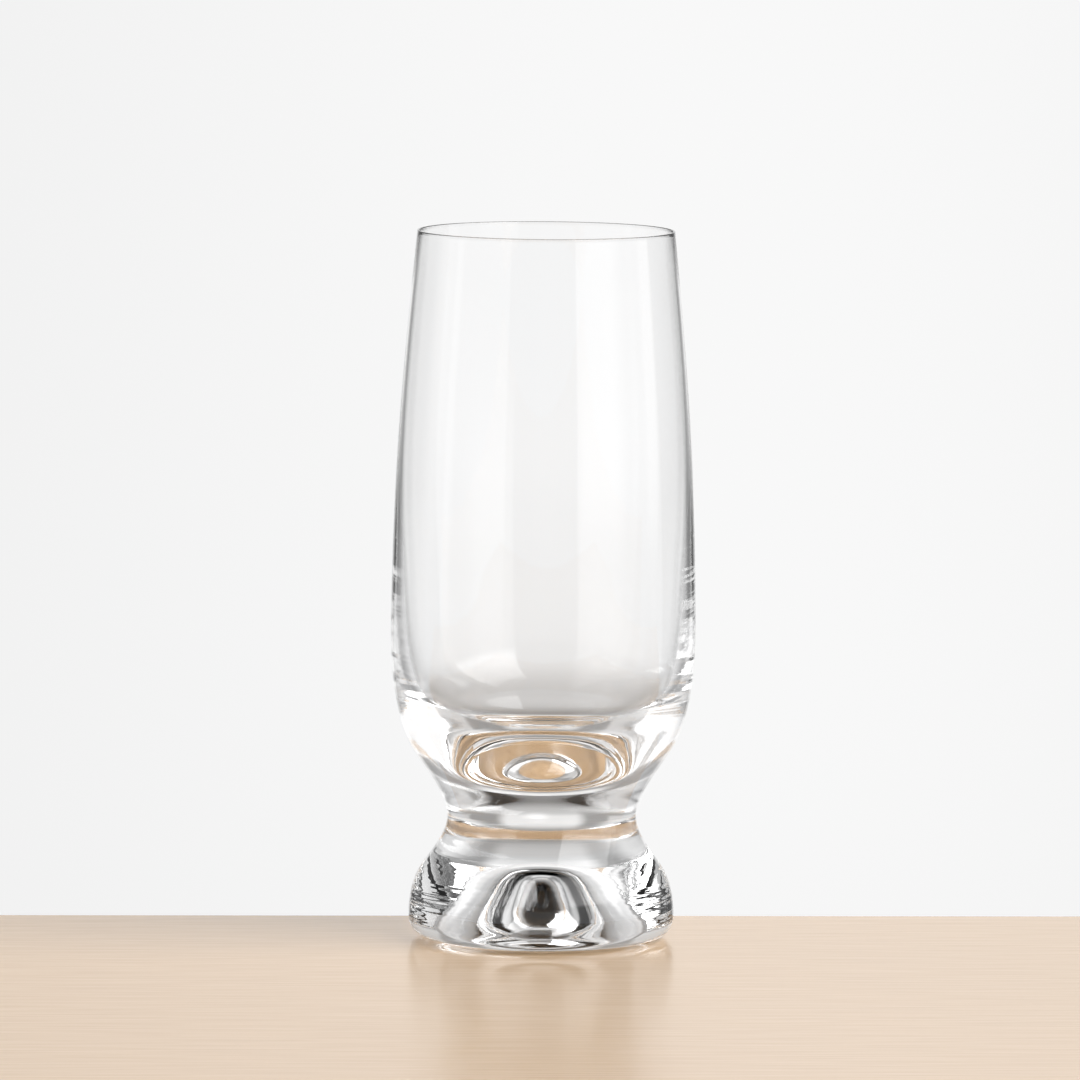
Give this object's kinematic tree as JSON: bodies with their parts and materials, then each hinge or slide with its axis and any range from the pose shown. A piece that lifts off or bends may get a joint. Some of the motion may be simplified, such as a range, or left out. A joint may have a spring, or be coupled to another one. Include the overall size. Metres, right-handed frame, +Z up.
{
  "type": "highball cocktail glass",
  "caption": "Tall clear glass for long cocktails: thin-rimmed barrel bowl with a thick floor, fused at a narrow waist to a heavy rounded foot with a domed hollow beneath.",
  "frame": {"origin": "centre of the flat ring that the foot stands on, at table level", "axes": "+Z up along the glass's axis, towards the rim; X and Y are interchangeable, because the glass is a body of revolution"},
  "size_m": [0.0708, 0.0708, 0.165],
  "materials": {
    "bowl_glass": "clear colourless blown glass, fire-polished and smooth inside and out",
    "foot_glass": "clear colourless pressed glass, fire-polished outside, with faint chill ripples in the hollow underneath"
  },
  "bodies": {
    "root": {"bowl": "bowl_glass", "foot": "foot_glass"}
  },
  "joints": []
}
